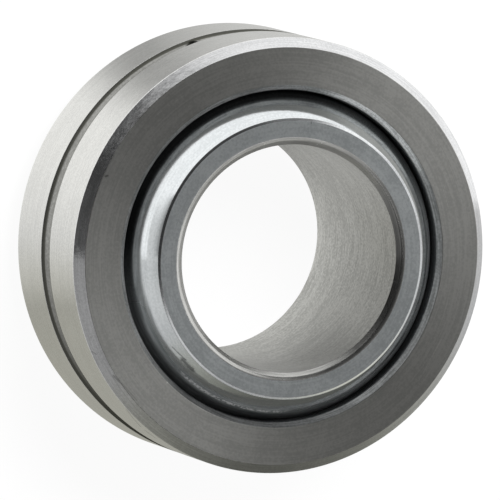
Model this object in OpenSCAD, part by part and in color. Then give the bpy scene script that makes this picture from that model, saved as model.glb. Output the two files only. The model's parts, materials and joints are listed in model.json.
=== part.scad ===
// Spherical plain bearing for a strut mount: a ball with a bore, held in a one-piece outer race.
// The origin is the pivot, which is the centre of the ball. +Z runs along the bore.
// Sizes are those of the commercial inch series with a 3/4 inch bore, in millimetres.
// They make a ball of 30.15 across in a race of 36.51 outside diameter.

/* [Ball] */
// Diameter of the bore that takes the strut's spindle
bore_d = 19.05; // [12:0.05:30]
// Width of the ball over its two flat ends
ball_w = 19.05; // [16:0.05:24]
// Wall of the ball at a flat end, from the bore out to the sphere
end_wall = 2.16; // [1.2:0.02:3.2]
// Chamfer at each mouth of the bore, at 45 degrees
bore_chamfer = 0.45; // [0.2:0.05:0.8]
// Width of the small flat that breaks the corner between a flat end and the sphere
corner_break = 0.12; // [0.06:0.02:0.3]

/* [Outer race] */
// Wall of the race at its middle, from the seat out to the outside diameter
race_wall = 3.13; // [2:0.01:6]
// Width of the race over its two faces
race_w = 15.06; // [11:0.02:17.5]
// Chamfer round each outer rim of the race, at 45 degrees
rim_chamfer = 0.8; // [0.4:0.05:1.4]
// Bevel between a face of the race and its mouth, at 45 degrees
mouth_bevel = 0.5; // [0.2:0.05:0.9]
// Open gap between the ball and the race's mouth, just below the bevel
mouth_gap = 0.52; // [0.3:0.02:1]
// Radial running clearance of the ball in its seat
seat_clearance = 0.05; // [0.02:0.01:0.1]

/* [Lubrication] */
// Width of the groove round the outside of the race
outer_groove_w = 2.1; // [1.2:0.05:3]
// Depth of the groove round the outside of the race
outer_groove_depth = 0.5; // [0.2:0.05:0.6]
// Width of the groove in the seat, which spreads the grease round the ball
seat_groove_w = 2.1; // [1.2:0.05:3]
// Depth of the groove in the seat
seat_groove_depth = 0.45; // [0.2:0.05:0.6]
// Diameter of the holes that join the two grooves
grease_hole_d = 1.7; // [1:0.05:2]
// Number of the holes, evenly spaced from the -X side
grease_holes = 2; // [1:1:4]

/* [Hidden] */
$fn = 180;

// Overshoot of a cutting shape past the surface that it cuts
cut_past = 1;

bore_r = bore_d / 2;
half_ball = ball_w / 2;
// Radius of the edge where a flat end of the ball meets the sphere, and of the sphere through it
corner_r = bore_r + end_wall;
ball_r = sqrt(corner_r * corner_r + half_ball * half_ball);
// Slope of the corner's break, halfway between the flat end and the sphere there
break_angle = acos(half_ball / ball_r) / 2;

seat_r = ball_r + seat_clearance;
race_r = seat_r + race_wall;
half_race = race_w / 2;
// Height at which the bevel of the mouth ends, and the mouth's radius below it
mouth_z = half_race - mouth_bevel;
mouth_r = sqrt(ball_r * ball_r - mouth_z * mouth_z) + mouth_gap;

// Radius of the arc that is this wide and this deep
function arc_r(width, depth) = (width * width / 4 + depth * depth) / (2 * depth);

// Half of the ball's section: the sphere's profile between the flat ends, outside the bore
module ball_section() {
    break_run = ball_r - corner_r + corner_break;
    break_drop = break_run * tan(break_angle);
    intersection() {
        circle(r = ball_r);
        polygon([
            [bore_r, bore_chamfer - half_ball],
            [bore_r + bore_chamfer, -half_ball],
            [corner_r - corner_break, -half_ball],
            [corner_r - corner_break + break_run, break_drop - half_ball],
            [corner_r - corner_break + break_run, half_ball - break_drop],
            [corner_r - corner_break, half_ball],
            [bore_r + bore_chamfer, half_ball],
            [bore_r, half_ball - bore_chamfer]
        ]);
    }
}

// Half of the race's section: the turned ring less the round seat and the two grooves
module race_section() {
    outer_arc = arc_r(outer_groove_w, outer_groove_depth);
    seat_arc = arc_r(seat_groove_w, seat_groove_depth);
    difference() {
        polygon([
            [mouth_r, -mouth_z],
            [mouth_r + mouth_bevel, -half_race],
            [race_r - rim_chamfer, -half_race],
            [race_r, rim_chamfer - half_race],
            [race_r, half_race - rim_chamfer],
            [race_r - rim_chamfer, half_race],
            [mouth_r + mouth_bevel, half_race],
            [mouth_r, mouth_z]
        ]);
        circle(r = seat_r);
        translate([race_r - outer_groove_depth + outer_arc, 0])
            circle(r = outer_arc);
        translate([seat_r + seat_groove_depth - seat_arc, 0])
            circle(r = seat_arc);
    }
}

// The holes that run in from the outer groove to the groove in the seat
module grease_drillings() {
    drill_start = mouth_r - cut_past;
    drill_length = race_r + cut_past - drill_start;
    for (i = [0 : grease_holes - 1])
        rotate([0, 0, 180 + i * 360 / grease_holes])
            translate([drill_start, 0, 0])
                rotate([0, 90, 0])
                    cylinder(d = grease_hole_d, h = drill_length);
}

// One-piece steel race, closed over the ball when it was made
module outer_race() {
    color("darkgray")
        difference() {
            rotate_extrude()
                race_section();
            grease_drillings();
        }
}

// Hardened ball with flat ground ends, a smooth sphere and a plain bore
module ball() {
    color("lightsteelblue")
        rotate_extrude()
            ball_section();
}

outer_race();
ball();
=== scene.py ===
import json
import math

import bpy
from mathutils import Matrix, Vector


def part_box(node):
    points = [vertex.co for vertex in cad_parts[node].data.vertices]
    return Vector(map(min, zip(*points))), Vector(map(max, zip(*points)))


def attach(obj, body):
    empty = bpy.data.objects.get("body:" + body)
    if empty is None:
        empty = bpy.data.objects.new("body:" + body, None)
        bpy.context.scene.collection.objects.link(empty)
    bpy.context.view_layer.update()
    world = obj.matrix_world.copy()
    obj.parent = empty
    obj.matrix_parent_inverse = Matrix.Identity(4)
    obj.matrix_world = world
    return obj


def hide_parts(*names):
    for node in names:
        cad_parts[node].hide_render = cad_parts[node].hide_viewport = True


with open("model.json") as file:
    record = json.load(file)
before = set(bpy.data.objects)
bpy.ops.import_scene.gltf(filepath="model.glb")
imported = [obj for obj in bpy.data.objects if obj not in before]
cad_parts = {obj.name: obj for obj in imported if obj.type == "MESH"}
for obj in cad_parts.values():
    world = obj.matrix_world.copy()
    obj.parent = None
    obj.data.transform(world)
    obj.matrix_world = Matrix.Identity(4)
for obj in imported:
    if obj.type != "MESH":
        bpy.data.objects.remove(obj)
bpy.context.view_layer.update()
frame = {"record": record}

# A spherical plain bearing: a polished ball, free to swivel in a ground steel race.
# Both pieces are turned here from sections with the CAD model's sizes and finely rounded edges.
# Lengths are in millimetres until a mesh is made. In a section x is the radius and y the height.
MM = 0.001

# Sizes that the frame gives
bore_mount = next(m for m in frame["record"]["mounts"] if m["name"] == "bore")
BORE_R = bore_mount["dims"]["r_mm"]
BALL_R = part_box("ball")[1].x / MM
BALL_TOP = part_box("ball")[1].z / MM
RACE_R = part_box("outer_race")[1].x / MM
RACE_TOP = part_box("outer_race")[1].z / MM

# Sizes within the ball
BALL_END_R = math.sqrt(BALL_R**2 - BALL_TOP**2)
BORE_CHAMFER = 0.45
CORNER_BREAK = 0.12

# Sizes within the race
RIM_CHAMFER = 0.8
MOUTH_BEVEL = 0.5
MOUTH_GAP = 0.52
SEAT_CLEARANCE = 0.05
OUTER_GROOVE_W = 2.1
OUTER_GROOVE_DEPTH = 0.5
SEAT_GROOVE_W = 2.1
SEAT_GROOVE_DEPTH = 0.45
GREASE_HOLE_R = 0.85
GREASE_HOLE_SIDES = (math.pi, 0.0)

# Rounding of the edges, and how finely everything is turned
SHARP = 0.04
WORN = 0.08
SOFT = 0.12
LIP = 0.3
BORE_EDGE = 0.5
EDGE_STEPS = 4
TURN_STEPS = 480
GROOVE_STEPS = 14
SPHERE_STEPS = 56
HOLE_HALF_WINDOW = 6
HOLE_RINGS = 4

# The camera, as fitted to the circles in the photograph. It clips in metres.
SENSOR_WIDTH = 36.0
CAMERA_CLIP = (0.01, 10.0)
LENS = 809.9
CAMERA_AZIMUTH = math.radians(-34.03)
CAMERA_ELEVATION = math.radians(68.2)
CAMERA_ROLL = math.radians(106.66)
CAMERA_DISTANCE = 942.3
AIM_LEFT = 0.030
AIM_DOWN = 0.255

WHITE = (1.0, 1.0, 1.0, 1.0)

# The studio that the metal mirrors. Lights are shares of white, and a pair is where a change begins and
# ends. A side is where something stands round the bearing, as a turn to the left from the picture's
# top. A reach from a side is an angle, or its cosine where it isn't in radians. Wall heights are sines.
# The walls have a white half, and a dim half that is dimmest on one side, with a faint seam between.
WHITE_SIDE = math.radians(6)
WHITE_SIDE_EDGE = (-0.03, 0.03)
WHITE_LIGHT = 1.1
DIM_SIDE = math.radians(196)
DIM_REACH = -0.3
DIM_LIGHT = (0.70, 0.12)
DIM_FALL = 3.0
DIM_UPPER_PART = 0.5
DIM_UPPER_HEIGHT = 0.3
SEAM_SIDE = math.radians(97)
SEAM_REACH = (math.radians(24), math.radians(8))
SEAM_LIGHT = 0.97

# The walls' top edges, and the left end of the white half, where it is lower and fades
WHITE_WALL_TOP = (0.20, 0.32)
DIM_WALL_TOP = (0.35, 0.60)
WHITE_END_SIDE = math.radians(80)
WHITE_END_REACH = (math.radians(28), math.radians(17))
WHITE_END_DROP = 0.13
WHITE_FADE_SIDE = math.radians(96)
WHITE_FADE_REACH = (math.radians(40), 0.0)
WHITE_FADE = 0.60

# The dark ceiling, the shade and the panel in it, and the strip of light that climbs the dim half
CEILING_REACH = 0.6
CEILING_LIGHT = (0.07, 0.22)
SHADE_SIDE = math.radians(45)
SHADE_HEIGHT = math.radians(58)
SHADE_EDGE = (math.radians(46), math.radians(30))
SHADE_LIGHT = 0.33
STRIP_SIDE = math.radians(205)
STRIP_REACH = (math.radians(100), math.radians(85))
STRIP_LOW_SIDE = math.radians(253)
STRIP_LOW = math.radians(17.5)
STRIP_CLIMB = math.radians(27)
STRIP_EDGE = (math.radians(2), math.radians(5))
STRIP_LIGHT = 0.7
PANEL_SIDE = math.radians(285)
PANEL_HEIGHT = math.radians(32)
PANEL_EDGE = (math.radians(34), math.radians(20))
PANEL_LIGHT = 1.15

# The floor as the metal mirrors it: close by, in the bore, and beyond the distances of NEAR_EDGE
NEAR_EDGE = (24.0, 40.0)
NEAR_WINDOW_SIDE = math.radians(42)
NEAR_WINDOW_EDGE = (-0.28, 0.12)
NEAR_LEFT_SIDE = math.radians(58)
NEAR_LEFT_REACH = 0.6
NEAR_LEFT_LIGHT = (0.40, 0.95)
NEAR_TOP_SIDE = math.radians(-15)
NEAR_TOP_REACH = 0.8
NEAR_TOP_LIGHT = (0.40, 0.64)
BORE_FLOOR_SIDE = math.radians(240)
BORE_FLOOR_LIGHT = (0.58, 1.05)
FLOOR_TINT = (1.0, 1.0, 0.98)
WARM_TINT = (1.0, 0.99, 0.88)
WARM_SIDE = math.radians(140)
WARM_REACH = (0.6, 0.95)
FAR_WARM_TINT = (1.0, 1.0, 0.88)
FAR_WARM_SIDE = math.radians(195)
FAR_WARM_REACH = (0.5, 0.95)

# The floor's size, its own glow as the camera sees it, and the grey that catches the lamp's light
FLOOR_HALF = 3000.0
FLOOR_GLOW = 0.94
FLOOR_MATT = 0.08

# The lamp. It stands towards the camera, moved to the picture's right and up by these shares of that
# way. Its power is in watts.
LAMP_WIDTH = 350.0
LAMP_DISTANCE = 600.0
LAMP_RIGHT = 0.5
LAMP_UP = 0.5
LAMP_POWER = 4.0

# How every metal's tone and roughness are made up. The shares are of each pattern, and a span is the
# part of their range that is used. Broad lines are so many times wider and longer than fine ones.
# Scales are to a millimetre, and the turn is a part of a full one.
LINES_AND_GRAIN_SHARE = 0.7
BROAD_SHARE = 0.1
PATCH_SHARE = 0.2
TONE_SPAN = (0.41, 0.59)
ROUGH_PATCH_SHARE = 0.6
ROUGH_GRAIN_SHARE = 0.4
ROUGH_SPAN = (0.3, 0.7)
BROAD_WIDER = 6
BROAD_LONGER = 3
PATCH_SCALE = 0.5
GRAIN_SCALE = 5.0
PATTERN_DETAIL = 3.0
WAVE_SCALE = 1.3
MARK_RAGGED_SCALE = 5.0
NOISE_MIDDLE = 0.5
QUARTER_TURN = 0.25

# The wear and the painted light and shade that cover a whole surface. A side is a level direction
# on the part, and a reach has the cosines to it at which each begins and is full. An edge is a pair
# of heights or radii.
# The haze on the sphere, next to the race
FILM_EDGE = (7.6, 8.5)
FILM_RAGGED = 1.2
FILM_LINES = 3.0
FILM_TURNS = 4.0
FILM_STREAKS = (0.35, 0.65)
FILM_COLOURS = ((0.38, 0.41, 0.42), (0.60, 0.63, 0.64))
FILM_ROUGHNESS = (0.14, 0.30)
FILM_SIDE = (1.00, -0.06)
FILM_REACH = (-0.45, 0.2)
FILM_SHARE = (0.3, 1.0)
FILM_MATT = (0.02, 0.16)

# Painted shade on one side of the lowest part of the sphere that shows, next to the race
GAP_SHADE_SIDE = (-0.93, -0.37)
GAP_SHADE_REACH = (0.30, 0.75)
GAP_SHADE_EDGE = (6.95, 7.5)
GAP_SHADE_TONE = 0.3

# The line of light specks on the sphere, and the smear that it lies in
SCUFF_SIDE = (0.79, -0.61)
SCUFF_REACH = (0.89, 0.95)
SCUFF_HEIGHT = 7.66
SCUFF_EDGE = (0.24, 0.06)
SCUFF_GRAIN = 4.5
SCUFF_SPECKS = (0.42, 0.54)
SCUFF_COLOUR = (0.88, 0.89, 0.90)
SCUFF_MATT = 0.9
SMEAR_EDGE = (0.75, 0.25)
SMEAR_MATT = 0.36

# The bevel at the race's mouth: painted light and more matt on one side, painted shade on another
LIP_LIGHT_SIDE = (-0.55, 0.83)
LIP_LIGHT_REACH = (0.88, 0.99)
LIP_EDGE = (13.8, 14.1)
LIP_BASE = 0.5
LIP_LIGHT_TONE = 1.75
LIP_MATT = (0.24, 0.60)
LIP_SHADE_SIDE = (0.83, -0.55)
LIP_SHADE_REACH = (0.60, 0.95)
LIP_SHADE_TONE = 0.4

# Painted shade in the bore
BORE_SHADE_SIDE = (0.99, -0.11)
BORE_SHADE_REACH = (0.72, 0.97)
BORE_SHADE_HEIGHT = (-6.0, 7.0)
BORE_SHADE_TONE = 0.62

# The chamfer at the bore's mouth, scuffed on one side and darkened by painted shade on another
CHAMFER_SIDE = (-0.89, -0.45)
CHAMFER_REACH = (-0.35, 0.4)
CHAMFER_MATT = 0.44
CHAMFER_SHADE_SIDE = (0.55, 0.83)
CHAMFER_SHADE_REACH = (0.5, 0.95)
CHAMFER_SHADE_EDGE = (9.95, 9.75)
CHAMFER_SHADE_TONE = 0.4

# Painted shade along both edges of the outer groove, and all over it on one side
GROOVE_SHADE_INNER_EDGE = (0.72, 0.84)
GROOVE_SHADE_OUTER_EDGE = (0.98, 1.05)
GROOVE_SHADE_SIDE = (0.83, -0.56)
GROOVE_SHADE_REACH = (0.50, 0.95)
GROOVE_SHADE_COLOUR = (0.15, 0.15, 0.13)
GROOVE_SHADE_ROUGHNESS = 0.5

# Marks of wear, and two painted glints. Each gives where it starts and ends, half its width, its tone
# and what it adds to the roughness
OUTSIDE_MARKS = (
    ((8.08, -16.37, 6.57), (10.22, -15.13, 5.09), 0.16, 0.5, 0.2),
    ((10.71, -14.78, 5.07), (11.53, -14.15, 4.97), 0.30, 0.6, 0.2),
    ((-14.2, -11.4, 5.2), (-15.6, -9.5, 3.1), 0.08, 0.8, 0.1),
    ((-17.6, -4.8, -2.0), (-17.9, -3.5, 2.6), 0.06, 0.8, 0.1),
)
RIM_MARKS = (
    ((4.83, -16.93, 7.38), (5.46, -16.59, 7.52), 0.25, 0.6, 0.2),
    ((2.43, -18.01, 6.82), (2.66, -17.78, 7.01), 0.15, 0.7, 0.2),
    ((-11.42, -13.09, 7.61), (-11.44, -13.11, 7.58), 0.12, 0.3, 0.2),
    ((10.36, -15.25, 6.90), (11.15, -14.66, 6.90), 0.35, 0.6, 0.2),
    ((-7.40, -15.75, 7.57), (-7.25, -15.82, 7.58), 0.14, 0.2, 0.0),
    ((-6.98, -16.00, 7.54), (-6.86, -16.03, 7.55), 0.11, 0.4, 0.0),
    ((-6.36, -16.80, 7.02), (-6.24, -16.86, 7.00), 0.18, 1.0, 0.1),
)
FACE_MARKS_AND_GLINT = (
    ((5.2, -16.7, RACE_TOP), (7.4, -15.6, RACE_TOP), 0.12, 0.8, 0.1),
    # A painted glint: a light spot by the mouth's edge.
    ((6.70, -12.60, RACE_TOP), (6.84, -12.64, RACE_TOP), 0.12, 1.6, 0.0),
    ((-11.40, -13.0, RACE_TOP), (-11.38, -12.8, RACE_TOP), 0.15, 0.5, 0.2),
    ((-14.9, -7.2, RACE_TOP), (-15.7, -4.6, RACE_TOP), 0.05, 1.15, 0.0),
    ((11.2, 11.6, RACE_TOP), (13.9, 8.7, RACE_TOP), 0.05, 1.15, 0.0),
)
# A painted glint: a small light spot in the groove.
GROOVE_PAINTED_GLINT = (
    ((1.85, -18.0, -0.2), (1.98, -18.0, 0.3), 0.16, 1.7, 0.0),
)
SPHERE_MARKS = (
    ((5.20, -11.20, 8.64), (6.30, -10.60, 8.71), 0.40, 0.45, 0.3),
    ((4.00, -11.95, 8.20), (6.10, -11.00, 8.25), 0.15, 0.6, 0.3),
    ((3.90, -11.70, 8.60), (5.30, -11.00, 8.90), 0.12, 0.6, 0.3),
    ((5.90, -10.90, 8.50), (7.60, -9.70, 8.80), 0.15, 0.7, 0.2),
)
END_MARKS = (
    ((-10.75, 4.95, BALL_TOP), (-10.30, 4.84, BALL_TOP), 0.07, 0.4, 0.2),
    ((-10.60, -5.31, BALL_TOP), (-10.45, -5.25, BALL_TOP), 0.09, 0.4, 0.2),
)


class Stretch:
    """A part of a section with one finish: its points, and the metal's outward normal at each."""

    def __init__(self, finish, points, normals):
        self.finish = finish
        self.points = [Vector(p) for p in points]
        self.normals = [Vector(n) for n in normals]


def line(finish, start, end):
    """A straight stretch."""
    along = (Vector(end) - Vector(start)).normalized()
    normal = (along.y, -along.x)
    return Stretch(finish, [start, end], [normal, normal])


def arc(finish, centre, radius, first, last, steps):
    """A round stretch from one angle to another. A falling angle makes a hollow in the metal."""
    side = 1 if last > first else -1
    angles = [first + (last - first) * i / steps for i in range(steps + 1)]
    spokes = [Vector((math.cos(a), math.sin(a))) for a in angles]
    return Stretch(finish, [Vector(centre) + radius * s for s in spokes], [side * s for s in spokes])


def flipped(stretches):
    """The same stretches on the lower half of the section."""
    turned = []
    for s in reversed(stretches):
        points = [(p.x, -p.y) for p in reversed(s.points)]
        normals = [(n.x, -n.y) for n in reversed(s.normals)]
        turned.append(Stretch(s.finish, points, normals))
    return turned


def rounded(before, after, radius):
    """Trims two stretches that meet at a corner, and gives the rounding between them."""
    n1, n2 = before.normals[-1], after.normals[0]
    turn = math.atan2(n1.x * n2.y - n1.y * n2.x, n1.dot(n2))
    reach = radius * math.tan(abs(turn) / 2)
    side = 1 if turn > 0 else -1
    before.points[-1] = before.points[-1] - reach * Vector((-n1.y, n1.x))
    after.points[0] = after.points[0] + reach * Vector((-n2.y, n2.x))
    centre = before.points[-1] - side * radius * n1
    first = math.atan2(n1.y, n1.x)
    angles = [first + turn * i / EDGE_STEPS for i in range(1, EDGE_STEPS)]
    normals = [Vector((math.cos(a), math.sin(a))) for a in angles]
    return [centre + side * radius * n for n in normals], normals


def outline(stretches, corners):
    """One closed section: its points, its normals, and the finish of the side from each point on.
    corners has the radius and the finish of the corner after each stretch."""
    turns = [
        rounded(s, stretches[(i + 1) % len(stretches)], corners[i][0])
        for i, s in enumerate(stretches)
    ]
    points, normals, finishes = [], [], []
    for s, (turn_points, turn_normals), (_, finish) in zip(stretches, turns, corners):
        points += s.points + turn_points
        normals += s.normals + turn_normals
        finishes += [s.finish] * (len(s.points) - 1) + [finish] * EDGE_STEPS
    return points, normals, finishes


class Skin:
    """A mesh in the making: points with their normals, and faces with their finishes."""

    def __init__(self):
        self.points, self.normals, self.faces, self.finishes = [], [], [], []

    def add(self, point, normal):
        self.points.append(Vector(point) * MM)
        self.normals.append(Vector(normal).normalized())
        return len(self.points) - 1

    def face(self, corners, finish):
        self.faces.append(corners)
        self.finishes.append(finish)

    def band(self, outer, inner, finish):
        """Joins two closed rings that have as many points, and run anticlockwise seen from outside."""
        count = len(outer)
        for k in range(count):
            after = (k + 1) % count
            self.face((outer[k], outer[after], inner[after], inner[k]), finish)

    def turn(self, section, skip=()):
        """Turns a closed section about the z axis. skip has the (column, row) of the faces left open.
        Gives the points' numbers by column and row."""
        points, normals, finishes = section
        rows = len(points)
        grid = []
        for j in range(TURN_STEPS):
            c, s = math.cos(column_angle(j)), math.sin(column_angle(j))
            grid.append([
                self.add((p.x * c, p.x * s, p.y), (n.x * c, n.x * s, n.y))
                for p, n in zip(points, normals)
            ])
        for j in range(TURN_STEPS):
            near, far = grid[j], grid[(j + 1) % TURN_STEPS]
            for i in range(rows):
                if (j, i) not in skip:
                    after = (i + 1) % rows
                    self.face((near[i], far[i], far[after], near[after]), finishes[i])
        return grid

    def piece(self, name, finishes):
        """The mesh object, with one material for each finish."""
        mesh = bpy.data.meshes.new(name)
        mesh.from_pydata(self.points, [], self.faces)
        names = list(finishes)
        for finish in names:
            mesh.materials.append(finishes[finish])
        mesh.polygons.foreach_set("material_index", [names.index(f) for f in self.finishes])
        mesh.polygons.foreach_set("use_smooth", [True] * len(self.faces))
        mesh.normals_split_custom_set_from_vertices(self.normals)
        mesh.update()
        made = bpy.data.objects.new(name, mesh)
        bpy.context.scene.collection.objects.link(made)
        return made


def column_angle(j):
    return 2 * math.pi * j / TURN_STEPS


class Groove:
    """A groove of round section about the z axis. Its arc's centre is at a radius, and side says
    whether the metal begins outside (1) or inside (-1) of that centre."""

    def __init__(self, floor_r, width, depth, side):
        self.arc_r = (width**2 / 4 + depth**2) / (2 * depth)
        self.centre_r = floor_r - side * self.arc_r
        self.side = side

    def at(self, y, z, angle):
        """The point of the groove's surface that is y across and z up from a spoke, and its normal."""
        rise = math.sqrt(self.arc_r**2 - z**2)
        r = self.centre_r + self.side * rise
        along = math.sqrt(r**2 - y**2)
        c, s = math.cos(angle), math.sin(angle)
        point = Vector((along * c - y * s, along * s + y * c, z))
        out = Vector((point.x, point.y, 0)) / r
        return point, (-self.side * rise * out - Vector((0, 0, z))) / self.arc_r


OUTER_GROOVE = Groove(RACE_R - OUTER_GROOVE_DEPTH, OUTER_GROOVE_W, OUTER_GROOVE_DEPTH, -1)
SEAT_R = BALL_R + SEAT_CLEARANCE
SEAT_GROOVE = Groove(SEAT_R + SEAT_GROOVE_DEPTH, SEAT_GROOVE_W, SEAT_GROOVE_DEPTH, 1)


def race_section():
    """The race's section, and the rows of its outer groove and of its seat groove."""
    mouth_z = RACE_TOP - MOUTH_BEVEL
    mouth_r = math.sqrt(BALL_R**2 - mouth_z**2) + MOUTH_GAP
    wall_end = math.sqrt(SEAT_R**2 - mouth_r**2)
    og, sg = OUTER_GROOVE, SEAT_GROOVE
    og_half = math.asin(OUTER_GROOVE_W / 2 / og.arc_r)
    meet_r = (SEAT_R**2 - sg.arc_r**2 + sg.centre_r**2) / (2 * sg.centre_r)
    meet_z = math.sqrt(SEAT_R**2 - meet_r**2)
    sg_half = math.atan2(meet_z, meet_r - sg.centre_r)
    outer_groove = arc(
        "groove", (og.centre_r, 0), og.arc_r, math.pi + og_half, math.pi - og_half, GROOVE_STEPS
    )
    seat_groove = arc("seat", (sg.centre_r, 0), sg.arc_r, sg_half, -sg_half, GROOVE_STEPS)
    side = [
        line("outside", (RACE_R, OUTER_GROOVE_W / 2), (RACE_R, RACE_TOP - RIM_CHAMFER)),
        line("rim", (RACE_R, RACE_TOP - RIM_CHAMFER), (RACE_R - RIM_CHAMFER, RACE_TOP)),
        line("face", (RACE_R - RIM_CHAMFER, RACE_TOP), (mouth_r + MOUTH_BEVEL, RACE_TOP)),
        line("mouth", (mouth_r + MOUTH_BEVEL, RACE_TOP), (mouth_r, mouth_z)),
        line("wall", (mouth_r, mouth_z), (mouth_r, wall_end)),
        arc(
            "seat", (0, 0), SEAT_R, math.atan2(wall_end, mouth_r), math.atan2(meet_z, meet_r),
            GROOVE_STEPS,
        ),
    ]
    corners = [
        (SHARP, "edge"), (SOFT, "edge"), (WORN, "face"), (WORN, "face"), (LIP, "wall"),
        (SHARP, "seat"), (SHARP, "seat"),
    ]
    section = outline(
        [outer_groove, *side, seat_groove, *flipped(side)], corners + corners[::-1]
    )
    outer_rows = range(GROOVE_STEPS + 1)
    between = sum(len(s.points) for s in [outer_groove, *side]) + (len(side) + 1) * (EDGE_STEPS - 1)
    seat_rows = range(between, between + GROOVE_STEPS + 1)
    return section, outer_rows, seat_rows


def hole_columns(spoke):
    """The columns of a turned grid that span the window for a grease hole."""
    middle = round(spoke / (2 * math.pi) * TURN_STEPS)
    return range(middle - HOLE_HALF_WINDOW, middle + HOLE_HALF_WINDOW + 1)


def window_loop(grid, columns, rows):
    """The points round a window in a turned grid, anticlockwise seen from outside the race."""
    first, last = columns[0], columns[-1]
    low, high = rows[0], rows[-1]
    at = [(j, low) for j in columns[:-1]] + [(last, i) for i in rows[:-1]]
    at += [(j, high) for j in columns[:0:-1]] + [(first, i) for i in rows[:0:-1]]
    return [grid[j % TURN_STEPS][i] for j, i in at]


def hole_rings(skin, groove, spoke, loop, spins):
    """Rings of points that lead from a window in a groove to the grease hole, and over its edge."""
    c, s = math.cos(spoke), math.sin(spoke)
    axis, across = Vector((c, s, 0)), Vector((-s, c, 0))
    rim_r = GREASE_HOLE_R + WORN
    rings = []
    for m in range(1, HOLE_RINGS + 1):
        share = m / HOLE_RINGS
        ring = []
        for number, spin in zip(loop, spins):
            start = skin.points[number] / MM
            y = start.dot(across) * (1 - share) + rim_r * math.cos(spin) * share
            z = start.z * (1 - share) + rim_r * math.sin(spin) * share
            ring.append(skin.add(*groove.at(y, z, spoke)))
        rings.append(ring)
    for m in range(1, EDGE_STEPS + 1):
        tilt = math.pi / 2 * m / EDGE_STEPS
        r = GREASE_HOLE_R + WORN * (1 - math.sin(tilt))
        sink = groove.side * WORN * (1 - math.cos(tilt))
        ring = []
        for spin in spins:
            point, normal = groove.at(rim_r * math.cos(spin), rim_r * math.sin(spin), spoke)
            depth = axis * (point.dot(axis) + sink)
            spread = across * math.cos(spin) + Vector((0, 0, math.sin(spin)))
            ring.append(skin.add(depth + spread * r, normal * math.cos(tilt) - spread * math.sin(tilt)))
        rings.append(ring)
    return rings


def drill(skin, grid, spoke, outer_rows, seat_rows):
    """Fills the windows at a spoke with the mouths of a grease hole, and joins them by its wall."""
    outer = window_loop(grid, hole_columns(spoke), outer_rows)
    inner = window_loop(grid, hole_columns(spoke), seat_rows[::-1])
    across = Vector((-math.sin(spoke), math.cos(spoke), 0))
    spins = [math.atan2(skin.points[n].z, skin.points[n].dot(across)) for n in outer]
    way_in = [outer, *hole_rings(skin, OUTER_GROOVE, spoke, outer, spins)]
    way_out = [inner, *hole_rings(skin, SEAT_GROOVE, spoke, inner, spins)]
    for finish, rings in (("groove", way_in), ("seat", way_out[::-1])):
        for ring, after in zip(rings, rings[1:]):
            skin.band(ring, after, finish)
    skin.band(way_in[-1], way_out[-1], "groove")


def make_race(finishes):
    """The outer race, with its two grooves and the grease holes between them."""
    section, outer_rows, seat_rows = race_section()
    skip = set()
    for spoke in GREASE_HOLE_SIDES:
        for j in hole_columns(spoke)[:-1]:
            for i in [*outer_rows[:-1], *seat_rows[:-1]]:
                skip.add((j % TURN_STEPS, i))
    skin = Skin()
    grid = skin.turn(section, skip)
    for spoke in GREASE_HOLE_SIDES:
        drill(skin, grid, spoke, outer_rows, seat_rows)
    return skin.piece("race_turned", finishes)


def ball_section():
    """The ball's section: the sphere, the broken corners, the flat ends and the chamfered bore."""
    slope = math.acos(BALL_TOP / BALL_R) / 2
    flat_end = Vector((BALL_END_R - CORNER_BREAK, BALL_TOP))
    fall = Vector((math.cos(slope), -math.sin(slope)))
    run = -flat_end.dot(fall) + math.sqrt(flat_end.dot(fall) ** 2 - flat_end.length_squared + BALL_R**2)
    corner = flat_end + run * fall
    reach = math.atan2(corner.y, corner.x)
    sphere = arc("sphere", (0, 0), BALL_R, -reach, reach, SPHERE_STEPS)
    top = [
        line("edge", corner, flat_end),
        line("end", flat_end, (BORE_R + BORE_CHAMFER, BALL_TOP)),
        line("bore_chamfer", (BORE_R + BORE_CHAMFER, BALL_TOP), (BORE_R, BALL_TOP - BORE_CHAMFER)),
    ]
    bore = line("bore", (BORE_R, BALL_TOP - BORE_CHAMFER), (BORE_R, BORE_CHAMFER - BALL_TOP))
    corners = [(WORN, "edge"), (WORN, "edge"), (BORE_EDGE, "bore_chamfer"), (SHARP, "bore")]
    return outline([sphere, *top, bore, *flipped(top)], corners + corners[::-1])


def make_ball(finishes):
    """The inner ball."""
    skin = Skin()
    skin.turn(ball_section())
    return skin.piece("ball_turned", finishes)


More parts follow.
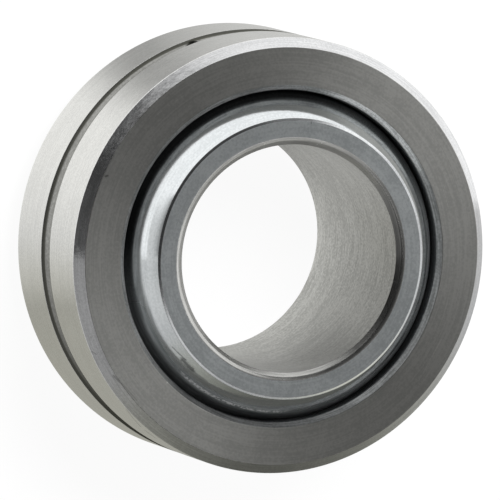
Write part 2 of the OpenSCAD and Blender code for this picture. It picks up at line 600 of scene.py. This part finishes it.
class Nodes:
    """A node tree in the making. Each method adds nodes and gives the socket that comes out."""

    def __init__(self, owner):
        owner.use_nodes = True
        self.tree = owner.node_tree
        self.tree.nodes.clear()

    def node(self, kind, **settings):
        made = self.tree.nodes.new(kind)
        for name, value in settings.items():
            setattr(made, name, value)
        return made

    def feed(self, socket, value):
        if isinstance(value, bpy.types.NodeSocket):
            self.tree.links.new(value, socket)
        else:
            socket.default_value = value

    def math(self, operation, *values, clamp=False):
        made = self.node("ShaderNodeMath", operation=operation, use_clamp=clamp)
        for socket, value in zip(made.inputs, values):
            self.feed(socket, value)
        return made.outputs["Value"]

    def vector(self, operation, *values, scale=None, out="Vector"):
        made = self.node("ShaderNodeVectorMath", operation=operation)
        for socket, value in zip(made.inputs, values):
            self.feed(socket, value)
        if scale is not None:
            self.feed(made.inputs["Scale"], scale)
        return made.outputs[out]

    def split(self, value):
        made = self.node("ShaderNodeSeparateXYZ")
        self.feed(made.inputs["Vector"], value)
        return made.outputs["X"], made.outputs["Y"], made.outputs["Z"]

    def join(self, x, y, z):
        made = self.node("ShaderNodeCombineXYZ")
        for socket, value in zip(made.inputs, (x, y, z)):
            self.feed(socket, value)
        return made.outputs["Vector"]

    def remap(self, value, low, high, to_low=0.0, to_high=1.0, smooth=True):
        """value as it goes from low to high, spread from to_low to to_high and held there."""
        kind = "SMOOTHSTEP" if smooth else "LINEAR"
        made = self.node("ShaderNodeMapRange", interpolation_type=kind)
        for socket, v in zip(made.inputs, (value, low, high, to_low, to_high)):
            self.feed(socket, v)
        return made.outputs["Result"]

    def blend(self, share, first, second):
        """A number between two others."""
        made = self.node("ShaderNodeMix", data_type="FLOAT")
        numbers = [s for s in made.inputs if s.type == "VALUE"]
        for socket, v in zip(numbers, (share, first, second)):
            self.feed(socket, v)
        return next(s for s in made.outputs if s.type == "VALUE")

    def mix(self, share, first, second):
        """A colour between two others."""
        made = self.node("ShaderNodeMix", data_type="RGBA")
        colours = [s for s in made.inputs if s.type == "RGBA"]
        self.feed(made.inputs["Factor"], share)
        self.feed(colours[0], first)
        self.feed(colours[1], second)
        return next(s for s in made.outputs if s.type == "RGBA")

    def mix_shader(self, share, first, second):
        made = self.node("ShaderNodeMixShader")
        for socket, v in zip(made.inputs, (share, first, second)):
            self.feed(socket, v)
        return made.outputs["Shader"]

    def glow(self, kind, colour, strength):
        """An Emission or Background shader."""
        made = self.node(kind)
        self.feed(made.inputs["Color"], colour)
        self.feed(made.inputs["Strength"], strength)
        return made.outputs[0]

    def seen_directly(self):
        """1 for what the camera sees by itself or through glass."""
        path = self.node("ShaderNodeLightPath")
        return self.math("MAXIMUM", path.outputs["Is Camera Ray"], path.outputs["Is Transmission Ray"])

    def noise(self, place, scale, detail=2.0, w=None):
        made = self.node("ShaderNodeTexNoise", noise_dimensions="3D" if w is None else "4D")
        self.feed(made.inputs["Vector"], place)
        if w is not None:
            self.feed(made.inputs["W"], w)
        made.inputs["Scale"].default_value = scale
        made.inputs["Detail"].default_value = detail
        return made.outputs["Fac"]


class Metal(Nodes):
    """A metal's nodes, with the place on the object in millimetres and in polar form."""

    def __init__(self, name):
        self.material = bpy.data.materials.new(name)
        super().__init__(self.material)
        place = self.node("ShaderNodeTexCoord").outputs["Object"]
        self.place = self.vector("SCALE", place, scale=1 / MM)
        self.x, self.y, self.z = self.split(self.place)
        flat = self.join(self.x, self.y, 0.0)
        self.radius = self.vector("LENGTH", flat, out="Value")
        self.cos = self.math("DIVIDE", self.x, self.radius)
        self.sin = self.math("DIVIDE", self.y, self.radius)

    def lay(self, lines_per_mm, turns, detail=2.0):
        """Tool lines that run round the axis: fine across them, and broken up turns times a radian."""
        place = self.join(
            self.math("MULTIPLY", self.radius, lines_per_mm),
            self.math("MULTIPLY", self.z, lines_per_mm),
            self.math("MULTIPLY", self.cos, turns),
        )
        return self.noise(place, 1.0, detail, w=self.math("MULTIPLY", self.sin, turns))

    def toward(self, side):
        """The cosine between the outward spoke here and a level direction."""
        part = self.math("MULTIPLY", self.cos, side[0])
        return self.math("ADD", part, self.math("MULTIPLY", self.sin, side[1]))

    def mark(self, start, end, half_width):
        """1 on a mark from one place to another, such as a scratch or a painted glint, and 0 away from
        it.
        """
        along = Vector(end) - Vector(start)
        from_start = self.vector("SUBTRACT", self.place, start)
        run = self.vector("DOT_PRODUCT", from_start, along / along.length_squared, out="Value")
        nearest = self.vector("SCALE", along, scale=self.math("ADD", run, 0.0, clamp=True))
        distance = self.vector("DISTANCE", from_start, nearest, out="Value")
        ragged = self.math("MULTIPLY", self.noise(self.place, MARK_RAGGED_SCALE), 2 * half_width)
        return self.remap(distance, 0.0, ragged, 1.0, 0.0)

    def marks(self, places, colour, roughness):
        """Lays marks over a colour and a roughness. Each has a start, an end, half a width, a tone that
        the colour is multiplied by, and what it adds to the roughness."""
        for start, end, half_width, tone, rougher in places:
            on_mark = self.mark(start, end, half_width)
            marked = self.vector("SCALE", colour, scale=tone)
            colour = self.mix(on_mark, colour, marked)
            roughness = self.math("ADD", roughness, self.math("MULTIPLY", on_mark, rougher))
        return colour, roughness

    def bump(self, height, depth, under=None):
        """Relief whose height from 0 to 1 stands for depth, in millimetres."""
        made = self.node("ShaderNodeBump")
        made.inputs["Strength"].default_value = 1.0
        made.inputs["Distance"].default_value = depth * MM
        self.feed(made.inputs["Height"], height)
        if under is not None:
            self.feed(made.inputs["Normal"], under)
        return made.outputs["Normal"]

    def finish(self, colour, roughness, normal, stretch=0.0, matt=0.0):
        """The shader. stretch draws highlights out across the lay, as fine turned lines do. matt is the
        share of the surface that scatters light, like a film of grease or oxide."""
        shader = self.node("ShaderNodeBsdfPrincipled")
        self.feed(shader.inputs["Metallic"], self.math("SUBTRACT", 1.0, matt))
        self.feed(shader.inputs["Base Color"], colour)
        self.feed(shader.inputs["Roughness"], roughness)
        self.feed(shader.inputs["Normal"], normal)
        if stretch:
            shader.inputs["Anisotropic"].default_value = stretch
            shader.inputs["Anisotropic Rotation"].default_value = QUARTER_TURN
            tangent = self.node("ShaderNodeTangent", direction_type="RADIAL", axis="Z")
            self.feed(shader.inputs["Tangent"], tangent.outputs["Tangent"])
        out = self.node("ShaderNodeOutputMaterial")
        self.feed(out.inputs["Surface"], shader.outputs["BSDF"])
        return self.material


def turned_metal(
    name, dark, light, rough, lines, turns, lay_depth, stretch=0.0, grain_depth=0.0, wave_depth=0.0,
    speckle=0.4, marks=(), overlay=None,
):
    """A turned or ground metal. dark and light are its colours, rough its lowest and highest roughness,
    lines the tool lines to a millimetre and turns how often they break, to a radian. The depths are in
    millimetres. speckle is the share of grain in the tone. overlay lays wear, or painted light and
    shade, over the whole surface, and gives the colour, the roughness and the matt share there."""
    m = Metal(name)
    fine = m.lay(lines, turns)
    broad = m.lay(lines / BROAD_WIDER, turns / BROAD_LONGER)
    patches = m.noise(m.place, PATCH_SCALE, PATTERN_DETAIL)
    grain = m.noise(m.place, GRAIN_SCALE, PATTERN_DETAIL)
    tone = m.math("MULTIPLY", fine, LINES_AND_GRAIN_SHARE - speckle)
    for pattern, share in ((broad, BROAD_SHARE), (patches, PATCH_SHARE), (grain, speckle)):
        tone = m.math("ADD", tone, m.math("MULTIPLY", pattern, share))
    colour = m.mix(m.remap(tone, *TONE_SPAN), (*dark, 1), (*light, 1))
    rough_patches = m.math("MULTIPLY", patches, ROUGH_PATCH_SHARE)
    rough_grain = m.math("MULTIPLY", grain, ROUGH_GRAIN_SHARE)
    roughness = m.remap(m.math("ADD", rough_patches, rough_grain), *ROUGH_SPAN, *rough)
    matt = 0.0
    if overlay:
        colour, roughness, matt = overlay(m, colour, roughness)
    colour, roughness = m.marks(marks, colour, roughness)
    normal = m.bump(fine, lay_depth)
    if grain_depth:
        normal = m.bump(grain, grain_depth, normal)
    if wave_depth:
        normal = m.bump(m.noise(m.place, WAVE_SCALE), wave_depth, normal)
    return m.finish(colour, roughness, normal, stretch, matt)


def sphere_film_and_shade(m, colour, roughness):
    """The haze on the sphere next to the race, broken up by streaks that run round it and heavier on
    one side. Painted shade darkens the sphere below it on one side, and a line of specks lies on
    another."""
    height = m.math("ABSOLUTE", m.z)
    streaks = m.lay(FILM_LINES, FILM_TURNS, PATTERN_DETAIL)
    off_middle = m.math("SUBTRACT", streaks, NOISE_MIDDLE)
    edge = m.math("ADD", height, m.math("MULTIPLY", off_middle, FILM_RAGGED))
    on_film = m.remap(edge, *FILM_EDGE, 1.0, 0.0)
    filmed = m.mix(m.remap(streaks, *FILM_STREAKS), (*FILM_COLOURS[0], 1), (*FILM_COLOURS[1], 1))
    heavy = m.remap(m.toward(FILM_SIDE), *FILM_REACH)
    matt = m.math("MULTIPLY", on_film, m.blend(heavy, *FILM_MATT))
    roughness = m.blend(on_film, roughness, m.blend(heavy, *FILM_ROUGHNESS))
    tinted = m.math("MULTIPLY", on_film, m.blend(heavy, *FILM_SHARE))
    colour = m.mix(tinted, colour, filmed)
    # Painted shade: the sphere darkened on one side, low down where it goes into the race.
    low = m.remap(height, *GAP_SHADE_EDGE, 1.0, 0.0)
    gap_shaded = m.math("MULTIPLY", low, m.remap(m.toward(GAP_SHADE_SIDE), *GAP_SHADE_REACH))
    colour = m.vector("SCALE", colour, scale=m.blend(gap_shaded, 1.0, GAP_SHADE_TONE))
    smeared, scuffed = scuff(m)
    smear_matt = m.math("MULTIPLY", smeared, SMEAR_MATT)
    matt = m.blend(scuffed, m.math("MAXIMUM", matt, smear_matt), SCUFF_MATT)
    return m.mix(scuffed, colour, (*SCUFF_COLOUR, 1)), roughness, matt


def scuff(m):
    """A line of light specks that runs round one side of the sphere, close above the race. Gives where
    the smear about it is, and where the specks are."""
    off_line = m.math("ABSOLUTE", m.math("SUBTRACT", m.z, SCUFF_HEIGHT))
    here = m.remap(m.toward(SCUFF_SIDE), *SCUFF_REACH)
    specks = m.remap(m.noise(m.place, SCUFF_GRAIN), *SCUFF_SPECKS)
    on_line = m.math("MULTIPLY", m.remap(off_line, *SCUFF_EDGE), here)
    smeared = m.math("MULTIPLY", m.remap(off_line, *SMEAR_EDGE), here)
    return smeared, m.math("MULTIPLY", on_line, specks)


def lip_light_and_shade(m, colour, roughness):
    """The matt bevel at the race's mouth: painted shade darkens it on one side, and painted light
    brightens it on another, where it is more matt too.
    """
    lip_shaded = m.remap(m.toward(LIP_SHADE_SIDE), *LIP_SHADE_REACH)
    colour = m.vector("SCALE", colour, scale=m.blend(lip_shaded, 1.0, LIP_SHADE_TONE))
    heavy = m.remap(m.toward(LIP_LIGHT_SIDE), *LIP_LIGHT_REACH)
    lit_and_matt = m.math("MULTIPLY", m.remap(m.radius, *LIP_EDGE, LIP_BASE, 1.0), heavy)
    colour = m.vector("SCALE", colour, scale=m.blend(lit_and_matt, 1.0, LIP_LIGHT_TONE))
    return colour, roughness, m.blend(lit_and_matt, *LIP_MATT)


def bore_shade(m, colour, roughness):
    """The bore's wall, darkened by painted shade on one side and most at its upper end."""
    here = m.remap(m.toward(BORE_SHADE_SIDE), *BORE_SHADE_REACH)
    bore_shaded = m.math("MULTIPLY", m.remap(m.z, *BORE_SHADE_HEIGHT), here)
    return m.vector("SCALE", colour, scale=m.blend(bore_shaded, 1.0, BORE_SHADE_TONE)), roughness, 0.0


def chamfer_scuff_and_shade(m, colour, roughness):
    """The chamfer at the bore's mouth, scuffed to a light matt on one side and darkened by painted shade
    on another.
    """
    scuffed = m.remap(m.toward(CHAMFER_SIDE), *CHAMFER_REACH)
    heavy = m.remap(m.toward(CHAMFER_SHADE_SIDE), *CHAMFER_SHADE_REACH)
    dark = m.math("MULTIPLY", m.remap(m.radius, *CHAMFER_SHADE_EDGE), heavy)
    colour = m.vector("SCALE", colour, scale=m.blend(dark, 1.0, CHAMFER_SHADE_TONE))
    return colour, roughness, m.math("MULTIPLY", scuffed, CHAMFER_MATT)


def groove_shade(m, colour, roughness):
    """Painted shade: dark lines along both edges of the outer groove, and all over it on one side."""
    height = m.math("ABSOLUTE", m.z)
    inside = m.remap(height, *GROOVE_SHADE_INNER_EDGE)
    outside = m.remap(height, *GROOVE_SHADE_OUTER_EDGE, 1.0, 0.0)
    heavy = m.remap(m.toward(GROOVE_SHADE_SIDE), *GROOVE_SHADE_REACH)
    on_groove_shade = m.math("MAXIMUM", m.math("MULTIPLY", inside, outside), heavy)
    return m.mix(on_groove_shade, colour, (*GROOVE_SHADE_COLOUR, 1)), m.blend(on_groove_shade, roughness, GROOVE_SHADE_ROUGHNESS), 0.0


def race_finishes():
    """The materials of the race, by the name of the stretch that each covers."""
    return {
        "outside": turned_metal(
            "race_outside", dark=(0.725, 0.725, 0.71), light=(0.835, 0.835, 0.817), rough=(0.16, 0.24),
            lines=6, turns=2, lay_depth=0.0003, stretch=0.5, grain_depth=0.0004, wave_depth=0.004,
            marks=OUTSIDE_MARKS,
        ),
        "rim": turned_metal(
            "race_rim", dark=(0.66, 0.665, 0.67), light=(0.80, 0.805, 0.81), rough=(0.12, 0.19),
            lines=9, turns=3, lay_depth=0.0004, stretch=0.3, grain_depth=0.0008, wave_depth=0.010,
            speckle=0.3, marks=RIM_MARKS,
        ),
        "face": turned_metal(
            "race_face", dark=(0.43, 0.43, 0.412), light=(0.525, 0.525, 0.503), rough=(0.34, 0.40),
            lines=7, turns=3, lay_depth=0.0007, stretch=0.85, grain_depth=0.0003,
            speckle=0.35, marks=FACE_MARKS_AND_GLINT,
        ),
        "mouth": turned_metal(
            "race_mouth", dark=(0.34, 0.35, 0.35), light=(0.64, 0.655, 0.655), rough=(0.42, 0.52),
            lines=8, turns=6, lay_depth=0.0006, grain_depth=0.0006, speckle=0.25, overlay=lip_light_and_shade,
        ),
        # The groove's colours are darker than the outside's: painted shade in the groove.
        "groove": turned_metal(
            "race_groove", dark=(0.27, 0.27, 0.255), light=(0.41, 0.41, 0.39), rough=(0.30, 0.40),
            lines=8, turns=2, lay_depth=0.0006, stretch=0.4, grain_depth=0.001,
            marks=GROOVE_PAINTED_GLINT, overlay=groove_shade,
        ),
        # The wall and the seat lie in the gap between ball and race. Their dark colours are painted
        # shade there.
        "wall": turned_metal(
            "race_wall", dark=(0.14, 0.145, 0.15), light=(0.22, 0.225, 0.23), rough=(0.50, 0.60),
            lines=8, turns=4, lay_depth=0.0006,
        ),
        "seat": turned_metal(
            "race_seat", dark=(0.05, 0.05, 0.055), light=(0.10, 0.10, 0.105), rough=(0.35, 0.5),
            lines=6, turns=3, lay_depth=0.0006,
        ),
        "edge": turned_metal(
            "race_edge", dark=(0.70, 0.70, 0.69), light=(0.86, 0.86, 0.85), rough=(0.22, 0.34),
            lines=9, turns=8, lay_depth=0.0004,
        ),
    }


def ball_finishes():
    """The materials of the ball, by the name of the stretch that each covers."""
    return {
        "sphere": turned_metal(
            "ball_sphere", dark=(0.70, 0.73, 0.74), light=(0.79, 0.82, 0.83), rough=(0.07, 0.11),
            lines=5, turns=1.5, lay_depth=0.00005, grain_depth=0.0001,
            marks=SPHERE_MARKS, overlay=sphere_film_and_shade,
        ),
        "end": turned_metal(
            "ball_end", dark=(0.565, 0.60, 0.61), light=(0.70, 0.735, 0.745), rough=(0.30, 0.36),
            lines=5, turns=1, lay_depth=0.0003, stretch=0.3, grain_depth=0.0004, marks=END_MARKS,
        ),
        "bore_chamfer": turned_metal(
            "ball_bore_chamfer", dark=(0.46, 0.46, 0.445), light=(0.60, 0.60, 0.58), rough=(0.20, 0.28),
            lines=8, turns=4, lay_depth=0.0004, speckle=0.1, overlay=chamfer_scuff_and_shade,
        ),
        "bore": turned_metal(
            "ball_bore", dark=(0.34, 0.34, 0.325), light=(0.57, 0.57, 0.55), rough=(0.36, 0.44),
            lines=8, turns=5, lay_depth=0.0010, stretch=0.5, grain_depth=0.0015, overlay=bore_shade,
        ),
        "edge": turned_metal(
            "ball_edge", dark=(0.70, 0.72, 0.73), light=(0.84, 0.86, 0.87), rough=(0.08, 0.14),
            lines=6, turns=4, lay_depth=0.0003,
        ),
    }


def camera_turn():
    """The camera's turn. Its columns are the picture's right, its up, and the way to the camera."""
    a, e = CAMERA_AZIMUTH, CAMERA_ELEVATION
    back = Vector((math.sin(a) * math.cos(e), -math.cos(a) * math.cos(e), math.sin(e)))
    level_right = Vector((0, 0, 1)).cross(back).normalized()
    level_up = back.cross(level_right)
    c, s = math.cos(CAMERA_ROLL), math.sin(CAMERA_ROLL)
    right = level_right * c + level_up * s
    up = level_up * c - level_right * s
    return Matrix((right, up, back)).transposed()


def make_camera(turn):
    """The camera at the photograph's viewing angle."""
    right, up, back = turn.col
    data = bpy.data.cameras.new("camera")
    data.sensor_width = SENSOR_WIDTH
    data.lens = LENS
    data.clip_start, data.clip_end = CAMERA_CLIP
    camera = bpy.data.objects.new("camera", data)
    camera.matrix_world = Matrix.Translation(
        (back * CAMERA_DISTANCE - right * AIM_LEFT - up * AIM_DOWN) * MM
    ) @ turn.to_4x4()
    bpy.context.scene.collection.objects.link(camera)
    bpy.context.scene.camera = camera


def side_of(turn, side):
    """The level direction that is turned by side, to the left, from the picture's top."""
    up = turn.col[1]
    top = Vector((up.x, up.y, 0)).normalized()
    left = Vector((0, 0, 1)).cross(top)
    return top * math.cos(side) + left * math.sin(side)


def way_to(turn, side, height):
    """The direction at a side and at an angle above the level."""
    return side_of(turn, side) * math.cos(height) + Vector((0, 0, math.sin(height)))


def toward(n, way, turn, side, height=0.0):
    """The cosine between a direction and the one to a side, at an angle above the level."""
    return n.vector("DOT_PRODUCT", way, way_to(turn, side, height), out="Value")


def closing(n, way, turn, side, reach, far=0.0, near=1.0, height=0.0):
    """Goes from far to near as a direction closes in on the one to a side, between two angles."""
    return n.remap(toward(n, way, turn, side, height), *(math.cos(e) for e in reach), far, near)


def surround_light(n, way, turn):
    """The light of the studio's walls by their side: white at the picture's top and dim at its foot.
    Gives that light, and 1 for the white half."""
    white_half = n.remap(toward(n, way, turn, WHITE_SIDE), *WHITE_SIDE_EDGE)
    to_dim = n.remap(toward(n, way, turn, DIM_SIDE), DIM_REACH, 1.0, smooth=False)
    dim = n.blend(n.math("POWER", to_dim, DIM_FALL), *DIM_LIGHT)
    seam = closing(n, way, turn, SEAM_SIDE, SEAM_REACH, 1.0, SEAM_LIGHT)
    return n.blend(white_half, n.math("MULTIPLY", dim, seam), WHITE_LIGHT), white_half


def surround_tint(n, way, turn):
    """The colour of that light, which is a little warm at the picture's foot."""
    to_warm = toward(n, way, turn, FAR_WARM_SIDE)
    return n.mix(n.remap(to_warm, *FAR_WARM_REACH), WHITE, (*FAR_WARM_TINT, 1))


def wall_light(n, level, height, turn):
    """The light of the walls. The dim half gets dimmer above, and the white half at its left end.
    Gives that light, and 1 for the white half."""
    wall, white_half = surround_light(n, level, turn)
    upper = n.remap(height, 0.0, DIM_UPPER_HEIGHT, 1.0, n.blend(white_half, DIM_UPPER_PART, 1.0))
    left_end = closing(n, level, turn, WHITE_FADE_SIDE, WHITE_FADE_REACH, 1.0, WHITE_FADE)
    wall = n.math("MULTIPLY", wall, upper)
    return n.math("MULTIPLY", wall, n.blend(white_half, 1.0, left_end)), white_half


def above_wall(n, level, height, white_half, turn):
    """1 above the walls' soft top edge."""
    drop = closing(n, level, turn, WHITE_END_SIDE, WHITE_END_REACH, 0.0, WHITE_END_DROP)
    edge = [
        n.blend(white_half, dim_top, n.math("SUBTRACT", white_top, drop))
        for dim_top, white_top in zip(DIM_WALL_TOP, WHITE_WALL_TOP)
    ]
    return n.remap(height, *edge)


def ceiling_light(n, way, turn):
    """The light of the ceiling, which is darker on the picture's left and in the shade, with a bright
    panel."""
    to_right = n.vector("DOT_PRODUCT", way, turn.col[0], out="Value")
    ceiling = n.remap(to_right, -CEILING_REACH, CEILING_REACH, *CEILING_LIGHT)
    shade = closing(n, way, turn, SHADE_SIDE, SHADE_EDGE, 1.0, SHADE_LIGHT, SHADE_HEIGHT)
    on_panel = closing(n, way, turn, PANEL_SIDE, PANEL_EDGE, height=PANEL_HEIGHT)
    return n.blend(on_panel, n.math("MULTIPLY", ceiling, shade), PANEL_LIGHT)


def strip_of_light(n, level, height, turn):
    """1 on the strip, which climbs from its lowest place to both ends."""
    off_low = n.math("SUBTRACT", 1.0, toward(n, level, turn, STRIP_LOW_SIDE))
    line_height = n.math("ADD", n.math("MULTIPLY", off_low, STRIP_CLIMB), STRIP_LOW)
    off_line = n.math("SUBTRACT", n.math("ARCSINE", height), line_height)
    across = n.remap(n.math("ABSOLUTE", off_line), *STRIP_EDGE, 1.0, 0.0)
    return n.math("MULTIPLY", across, closing(n, level, turn, STRIP_SIDE, STRIP_REACH))


def make_world(turn):
    """A light tent for the metal to mirror, with a dark ceiling, and a plain white backdrop for the
    camera."""
    world = bpy.data.worlds.new("studio")
    bpy.context.scene.world = world
    n = Nodes(world)
    way = n.node("ShaderNodeTexCoord").outputs["Generated"]
    x, y, height = n.split(way)
    level = n.vector("NORMALIZE", n.join(x, y, 0.0))
    wall, white_half = wall_light(n, level, height, turn)
    above = above_wall(n, level, height, white_half, turn)
    tent = n.blend(above, wall, ceiling_light(n, way, turn))
    light = n.blend(strip_of_light(n, level, height, turn), tent, STRIP_LIGHT)
    tint = n.mix(above, surround_tint(n, level, turn), WHITE)
    studio = n.glow("ShaderNodeBackground", tint, light)
    backdrop = n.glow("ShaderNodeBackground", WHITE, 1.0)
    out = n.node("ShaderNodeOutputWorld")
    n.feed(out.inputs["Surface"], n.mix_shader(n.seen_directly(), studio, backdrop))


def near_light(n, way, turn):
    """The light of the floor close round the bearing: a bright window on its left, softer at its top."""
    to_left = toward(n, way, turn, NEAR_LEFT_SIDE)
    left = n.remap(to_left, NEAR_LEFT_REACH, 1.0, *NEAR_LEFT_LIGHT, smooth=False)
    to_top = toward(n, way, turn, NEAR_TOP_SIDE)
    top = n.remap(to_top, NEAR_TOP_REACH, 1.0, *NEAR_TOP_LIGHT, smooth=False)
    past_edge = toward(n, way, turn, NEAR_WINDOW_SIDE + math.pi / 2)
    return n.blend(n.remap(past_edge, *NEAR_WINDOW_EDGE), top, left)


def mirrored_floor(n, turn):
    """The floor's light and colour as the metal sees them: close by, in the bore and far off."""
    place = n.vector("SCALE", n.node("ShaderNodeTexCoord").outputs["Object"], scale=1 / MM)
    x, y, _ = n.split(place)
    flat = n.join(x, y, 0.0)
    distance = n.vector("LENGTH", flat, out="Value")
    way = n.vector("NORMALIZE", flat)
    in_bore = n.remap(distance, BORE_R, RACE_R, 1.0, 0.0)
    bore_floor = n.remap(toward(n, flat, turn, BORE_FLOOR_SIDE), 0.0, BORE_R, *BORE_FLOOR_LIGHT)
    near = n.blend(in_bore, near_light(n, way, turn), bore_floor)
    is_far = n.remap(distance, *NEAR_EDGE)
    light = n.blend(is_far, near, surround_light(n, way, turn)[0])
    warm = n.remap(toward(n, way, turn, WARM_SIDE), *WARM_REACH)
    near_tint = n.mix(warm, (*FLOOR_TINT, 1), (*WARM_TINT, 1))
    return light, n.mix(is_far, near_tint, surround_tint(n, way, turn))


def make_floor(turn):
    """A white floor. What the camera sees of it is white but for the bearing's soft shadow. The metal
    sees it with the light and shade that the studio's walls leave on it."""
    mesh = bpy.data.meshes.new("floor")
    s = FLOOR_HALF * MM
    z = -BALL_TOP * MM
    mesh.from_pydata([(-s, -s, z), (s, -s, z), (s, s, z), (-s, s, z)], [], [(0, 1, 2, 3)])
    floor = bpy.data.objects.new("floor", mesh)
    bpy.context.scene.collection.objects.link(floor)
    material = bpy.data.materials.new("floor_white")
    mesh.materials.append(material)
    n = Nodes(material)
    light, tint = mirrored_floor(n, turn)
    reflected = n.glow("ShaderNodeEmission", tint, light)
    white = n.glow("ShaderNodeEmission", WHITE, FLOOR_GLOW)
    matt = n.node("ShaderNodeBsdfDiffuse")
    matt.inputs["Color"].default_value = (FLOOR_MATT, FLOOR_MATT, FLOOR_MATT, 1)
    both = n.node("ShaderNodeAddShader")
    n.feed(both.inputs[0], white)
    n.feed(both.inputs[1], matt.outputs["BSDF"])
    out = n.node("ShaderNodeOutputMaterial")
    shown = n.mix_shader(n.seen_directly(), reflected, both.outputs["Shader"])
    n.feed(out.inputs["Surface"], shown)


def make_lamp(turn):
    """One broad lamp from the picture's upper right, which throws the soft shadow on the floor."""
    right, up, back = turn.col
    data = bpy.data.lights.new("lamp", "AREA")
    data.shape = "DISK"
    data.size = LAMP_WIDTH * MM
    data.energy = LAMP_POWER
    way = (back + right * LAMP_RIGHT + up * LAMP_UP).normalized()
    lamp = bpy.data.objects.new("lamp", data)
    place = Matrix.Translation(way * LAMP_DISTANCE * MM)
    lamp.matrix_world = place @ way.to_track_quat("Z", "Y").to_matrix().to_4x4()
    lamp.visible_glossy = False
    bpy.context.scene.collection.objects.link(lamp)


race = make_race(race_finishes())
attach(race, "outer_race")
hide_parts("outer_race")

ball = make_ball(ball_finishes())
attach(ball, "ball")
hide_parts("ball")

turn = camera_turn()
make_camera(turn)
bpy.context.scene.view_settings.view_transform = "Standard"

make_world(turn)
make_floor(turn)
make_lamp(turn)
